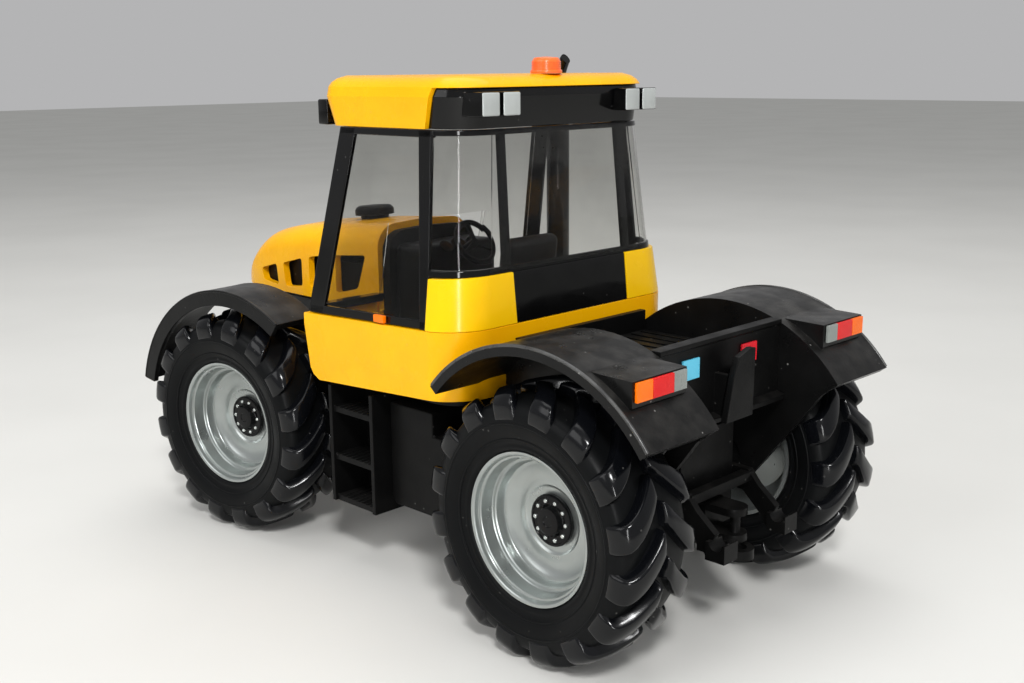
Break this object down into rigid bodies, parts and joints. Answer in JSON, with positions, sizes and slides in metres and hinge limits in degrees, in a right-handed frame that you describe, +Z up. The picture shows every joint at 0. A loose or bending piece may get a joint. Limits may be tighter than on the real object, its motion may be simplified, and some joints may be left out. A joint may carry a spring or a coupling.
{
  "type": "toy farm tractor",
  "caption": "Toy farm tractor with a wide glazed cab, equal lugged wheels, steered front fenders, a short load deck and rear lift links.",
  "frame": {"origin": "middle of the footprint at ground level", "axes": "+X to the tractor's left, +Y to its rear, +Z up"},
  "size_m": [0.078, 0.1428, 0.0972],
  "materials": {
    "body_yellow": "glossy",
    "panel_yellow": "glossy",
    "black_plastic": "satin",
    "clear": "clear",
    "rim_grey": "satin",
    "tyre_rubber": "satin",
    "amber": "glossy",
    "red": "glossy",
    "lamp_grey": "satin",
    "blue": "glossy",
    "beacon_orange": "glossy"
  },
  "bodies": {
    "body": {"chassis": "black_plastic", "engine": "black_plastic", "front_axle": "black_plastic", "rear_axle": "black_plastic", "side_tanks": "black_plastic", "steps": "black_plastic", "bonnet": "body_yellow", "bonnet_liner": "black_plastic", "headlamps": "lamp_grey", "air_cleaner": "black_plastic", "exhaust_stack": "black_plastic", "rear_fender_left": "black_plastic", "rear_fender_right": "black_plastic", "tail_lamps_amber": "amber", "tail_lamps_red": "red", "tail_lamps_grey": "lamp_grey", "cab_tub": "body_yellow", "cab_floor": "black_plastic", "corner_panel_left": "panel_yellow", "corner_panel_right": "panel_yellow", "cab_rear_panel": "black_plastic", "cab_frame": "black_plastic", "glazing": "clear", "dashboard": "black_plastic", "steering_wheel": "black_plastic", "seat": "black_plastic", "roof": "body_yellow", "roof_band": "black_plastic", "work_lamps_rear": "lamp_grey", "work_lamps_front": "black_plastic", "side_markers": "amber", "beacon": "beacon_orange", "load_deck": "black_plastic", "plate_blue": "blue", "plate_red": "red", "drawbar": "black_plastic"},
    "lower_links": {"rear_linkage": "black_plastic"},
    "steering_left": {"knuckle_left": "black_plastic", "front_fender_left": "black_plastic"},
    "steering_right": {"knuckle_right": "black_plastic", "front_fender_right": "black_plastic"},
    "wheel_front_left": {"tyre_front_left": "tyre_rubber", "rim_front_left": "rim_grey", "hub_front_left": "black_plastic"},
    "wheel_front_right": {"tyre_front_right": "tyre_rubber", "rim_front_right": "rim_grey", "hub_front_right": "black_plastic"},
    "wheel_rear_left": {"tyre_rear_left": "tyre_rubber", "rim_rear_left": "rim_grey", "hub_rear_left": "black_plastic"},
    "wheel_rear_right": {"tyre_rear_right": "tyre_rubber", "rim_rear_right": "rim_grey", "hub_rear_right": "black_plastic"}
  },
  "joints": [
    {"name": "steer_left", "type": "hinge", "parent": "body", "child": "steering_left", "pos_m": [0.0155, -0.04196, 0.023], "axis": [0, 0, 1], "range_deg": [-20, 4]},
    {"name": "steer_right", "type": "hinge", "parent": "body", "child": "steering_right", "pos_m": [-0.0155, -0.04196, 0.023], "axis": [0, 0, 1], "range_deg": [-20, 4]},
    {"name": "roll_front_left", "type": "hinge", "parent": "steering_left", "child": "wheel_front_left", "pos_m": [0.02788, -0.04022, 0.023], "axis": [0.9903, 0.1392, 0], "continuous": true},
    {"name": "roll_front_right", "type": "hinge", "parent": "steering_right", "child": "wheel_front_right", "pos_m": [-0.02788, -0.0437, 0.023], "axis": [0.9903, 0.1392, 0], "continuous": true},
    {"name": "roll_rear_left", "type": "hinge", "parent": "body", "child": "wheel_rear_left", "pos_m": [0.028, 0.04754, 0.023], "axis": [1, 0, 0], "continuous": true},
    {"name": "roll_rear_right", "type": "hinge", "parent": "body", "child": "wheel_rear_right", "pos_m": [-0.028, 0.04754, 0.023], "axis": [1, 0, 0], "continuous": true},
    {"name": "link_lift", "type": "hinge", "parent": "body", "child": "lower_links", "pos_m": [0, 0.05494, 0.0235], "axis": [1, 0, 0], "range_deg": [-8, 25]}
  ],
  "couplings": [
    {"joint": "steer_right", "follows": "steer_left", "ratio": 1}
  ]
}
